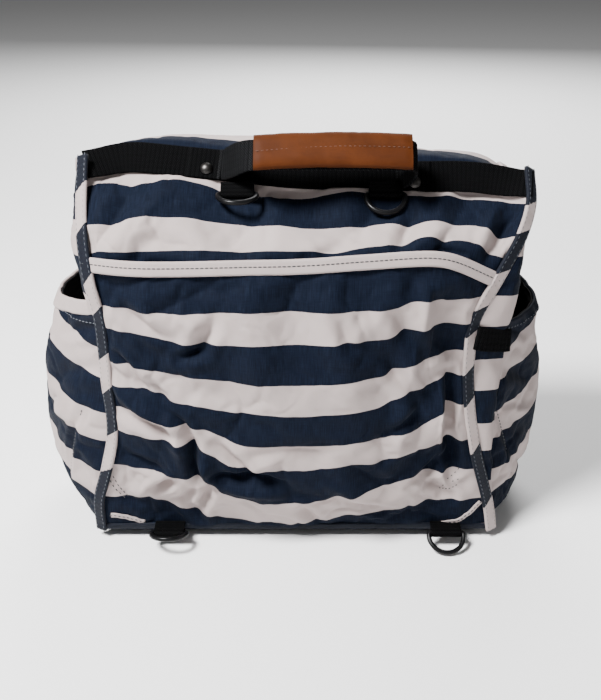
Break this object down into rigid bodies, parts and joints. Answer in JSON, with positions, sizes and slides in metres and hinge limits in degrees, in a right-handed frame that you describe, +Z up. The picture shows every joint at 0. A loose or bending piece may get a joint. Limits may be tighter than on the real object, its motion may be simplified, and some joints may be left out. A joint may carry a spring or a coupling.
{
  "type": "diaper bag",
  "caption": "Upright striped fabric changing bag with a fold-over flap, leather-wrapped top handle, back slip pocket, bulging side pockets and strap rings.",
  "frame": {"origin": "centre of the flat base face, on the floor", "axes": "+Z up, -Y the back of the bag with the top handle, +X to the right when looking at that back"},
  "size_m": [0.417, 0.1926, 0.3379],
  "materials": {
    "striped_canvas": "woven navy and off-white stripe, soft sheen",
    "bias_binding": "same stripe cut on the bias, topstitched",
    "dark_lining": "black plain-weave lining",
    "board": "stiff polyethylene sheet",
    "black_webbing": "ribbed black webbing",
    "gunmetal": "dark gunmetal, satin",
    "snap_metal": "nickel-plated steel",
    "tan_leather": "smooth tan leather",
    "foam": "soft closed-cell foam",
    "ring_metal": "gloss black"
  },
  "bodies": {
    "bag": {"base_panel": "striped_canvas", "back_panel": "striped_canvas", "front_panel": "striped_canvas", "gusset_left": "striped_canvas", "gusset_right": "striped_canvas", "back_slip_pocket": "striped_canvas", "side_pocket_left": "striped_canvas", "side_pocket_right": "striped_canvas", "seam_binding_back_left": "bias_binding", "seam_binding_front_left": "bias_binding", "seam_binding_back_right": "bias_binding", "seam_binding_front_right": "bias_binding", "bottom_binding_back": "bias_binding", "bottom_binding_front": "bias_binding", "lining_base": "dark_lining", "lining_back": "dark_lining", "lining_front": "dark_lining", "lining_left": "dark_lining", "lining_right": "dark_lining", "side_pocket_lining_left": "dark_lining", "side_pocket_lining_right": "dark_lining", "base_board": "board", "webbing_band": "black_webbing", "handle_end_left": "black_webbing", "handle_end_right": "black_webbing", "side_pocket_strap": "black_webbing", "ring_tab_upper_left": "black_webbing", "ring_tab_upper_right": "black_webbing", "ring_tab_lower_left": "black_webbing", "ring_tab_lower_right": "black_webbing", "ring_tab_side_left": "black_webbing", "ring_tab_side_right": "black_webbing", "rivet_left": "gunmetal", "rivet_right": "gunmetal", "snap_socket_left": "snap_metal", "snap_socket_right": "snap_metal"},
    "flap": {"flap_outer": "striped_canvas", "flap_lining": "dark_lining", "flap_edge_binding": "bias_binding", "snap_stud_left": "snap_metal", "snap_stud_right": "snap_metal"},
    "handle": {"handle_webbing": "black_webbing", "handle_padding": "foam", "handle_wrap": "tan_leather"},
    "ring_upper_left": {"d_ring_upper_left": "ring_metal"},
    "ring_upper_right": {"d_ring_upper_right": "ring_metal"},
    "ring_lower_left": {"d_ring_lower_left": "ring_metal"},
    "ring_lower_right": {"d_ring_lower_right": "ring_metal"},
    "ring_side_left": {"d_ring_side_left": "ring_metal"},
    "ring_side_right": {"d_ring_side_right": "ring_metal"}
  },
  "joints": [
    {"name": "flap_hinge", "type": "hinge", "parent": "bag", "child": "flap", "pos_m": [0, -0.017, 0.3132], "axis": [1, 0, 0], "range_deg": [0, 100]},
    {"name": "handle_hinge", "type": "hinge", "parent": "bag", "child": "handle", "pos_m": [0, -0.03013, 0.30538], "axis": [1, 0, 0], "range_deg": [-52, 35]},
    {"name": "ring_upper_left_hinge", "type": "hinge", "parent": "bag", "child": "ring_upper_left", "pos_m": [-0.0475, -0.041, 0.2914], "axis": [1, 0, 0], "range_deg": [-35, 23]},
    {"name": "ring_upper_right_hinge", "type": "hinge", "parent": "bag", "child": "ring_upper_right", "pos_m": [0.064, -0.041, 0.2914], "axis": [1, 0, 0], "range_deg": [-65, 3]},
    {"name": "ring_lower_left_hinge", "type": "hinge", "parent": "bag", "child": "ring_lower_left", "pos_m": [-0.11, -0.087, 0.013], "axis": [1, 0, 0], "range_deg": [-32, 52]},
    {"name": "ring_lower_right_hinge", "type": "hinge", "parent": "bag", "child": "ring_lower_right", "pos_m": [0.122, -0.087, 0.013], "axis": [1, 0, 0], "range_deg": [-83, 1]},
    {"name": "ring_side_left_hinge", "type": "hinge", "parent": "bag", "child": "ring_side_left", "pos_m": [-0.172, -0.01, 0.284], "axis": [0, 1, 0], "range_deg": [0, 150]},
    {"name": "ring_side_right_hinge", "type": "hinge", "parent": "bag", "child": "ring_side_right", "pos_m": [0.172, -0.01, 0.284], "axis": [0, -1, 0], "range_deg": [0, 150]}
  ]
}
